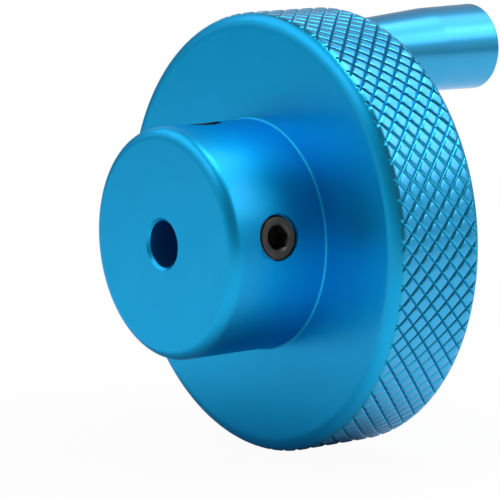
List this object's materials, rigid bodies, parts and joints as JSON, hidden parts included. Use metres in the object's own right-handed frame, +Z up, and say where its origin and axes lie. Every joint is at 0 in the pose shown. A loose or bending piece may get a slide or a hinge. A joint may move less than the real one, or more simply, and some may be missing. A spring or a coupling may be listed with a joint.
{
  "type": "machine handwheel",
  "caption": "Turned handwheel with a diamond-knurled rim, a hub with set screws that clamp it on a shaft, and a revolving crank grip.",
  "frame": {"origin": "on the shaft bore's axis, halfway through the rim's width", "axes": "+Z up, Y along the shaft bore: the hub faces -Y, where the shaft enters, and the crank grip stands on the +Y face"},
  "size_m": [0.06, 0.0575, 0.06],
  "materials": {
    "blue_aluminium": "satin, anodised blue",
    "black_steel": "black oxide",
    "plain_steel": "turned steel"
  },
  "bodies": {
    "wheel_body": {"wheel": "blue_aluminium", "handle_spindle": "plain_steel"},
    "grip": {"handle_grip": "blue_aluminium"},
    "side_screw": {"set_screw_side": "black_steel"},
    "upper_screw": {"set_screw_upper": "black_steel"}
  },
  "joints": [
    {"name": "grip_spin", "type": "hinge", "parent": "wheel_body", "child": "grip", "pos_m": [-0.00317, 0.0211, 0.02283], "axis": [0, 1, 0], "continuous": true},
    {"name": "side_screw_drive", "type": "slide", "parent": "wheel_body", "child": "side_screw", "axis": [-0.9905, 0, -0.1374], "range_m": [0, 0.00625]},
    {"name": "upper_screw_drive", "type": "slide", "parent": "wheel_body", "child": "upper_screw", "axis": [0.1374, 0, -0.9905], "range_m": [0, 0.00625]}
  ]
}
